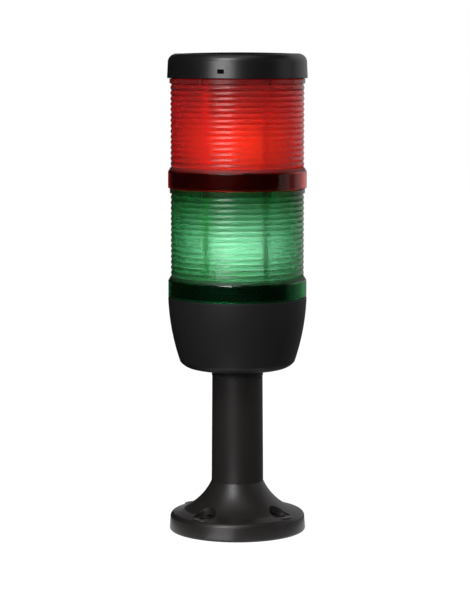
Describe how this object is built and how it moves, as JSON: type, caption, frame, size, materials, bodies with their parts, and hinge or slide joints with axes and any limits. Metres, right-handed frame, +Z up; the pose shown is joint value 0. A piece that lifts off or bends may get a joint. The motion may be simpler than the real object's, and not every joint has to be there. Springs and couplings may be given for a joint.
{
  "type": "stack light",
  "caption": "Stack light: round foot and tube, base housing, stacked green and red ribbed light units and a cap that twist-lock together.",
  "frame": {"origin": "centre of the foot's underside", "axes": "+Z up along the tube; the front faces -Y, midway between two mounting holes"},
  "size_m": [0.07, 0.07, 0.2405],
  "materials": {
    "foot_plastic": "satin",
    "housing_plastic": "satin",
    "inner_plastic": "matte",
    "green_lens": "gloss",
    "red_lens": "gloss",
    "clear_plastic": "gloss",
    "frosted_glass": "frosted",
    "brass": "satin",
    "steel": "satin",
    "rubber": "matte"
  },
  "bodies": {
    "base": {"foot_tube": "foot_plastic", "tube_seal": "rubber", "base_housing": "housing_plastic", "tube_nut": "steel", "terminal_carrier": "inner_plastic", "base_contacts": "brass", "terminal_clamps": "brass", "terminal_screws": "steel", "carrier_screws": "steel", "base_seal": "rubber"},
    "green_unit": {"green_lens": "green_lens", "green_carrier": "inner_plastic", "green_contacts": "brass", "green_clear_tube": "clear_plastic", "green_socket": "steel", "green_socket_insert": "inner_plastic", "green_plungers": "brass", "green_lamp_base": "brass", "green_lamp_bulb": "frosted_glass", "green_seal": "rubber"},
    "red_unit": {"red_lens": "red_lens", "red_carrier": "inner_plastic", "red_contacts": "brass", "red_clear_tube": "clear_plastic", "red_socket": "steel", "red_socket_insert": "inner_plastic", "red_plungers": "brass", "red_lamp_base": "brass", "red_lamp_bulb": "frosted_glass", "red_seal": "rubber"},
    "cap": {"cap": "housing_plastic"}
  },
  "joints": [
    {"name": "green_twist", "type": "hinge", "parent": "base", "child": "green_unit", "pos_m": [0, 0, 0.1185], "axis": [0, 0, 1], "range_deg": [0, 15]},
    {"name": "red_twist", "type": "hinge", "parent": "green_unit", "child": "red_unit", "pos_m": [0, 0, 0.173], "axis": [0, 0, 1], "range_deg": [0, 15]},
    {"name": "cap_twist", "type": "hinge", "parent": "red_unit", "child": "cap", "pos_m": [0, 0, 0.2275], "axis": [0, 0, 1], "range_deg": [0, 15]}
  ]
}
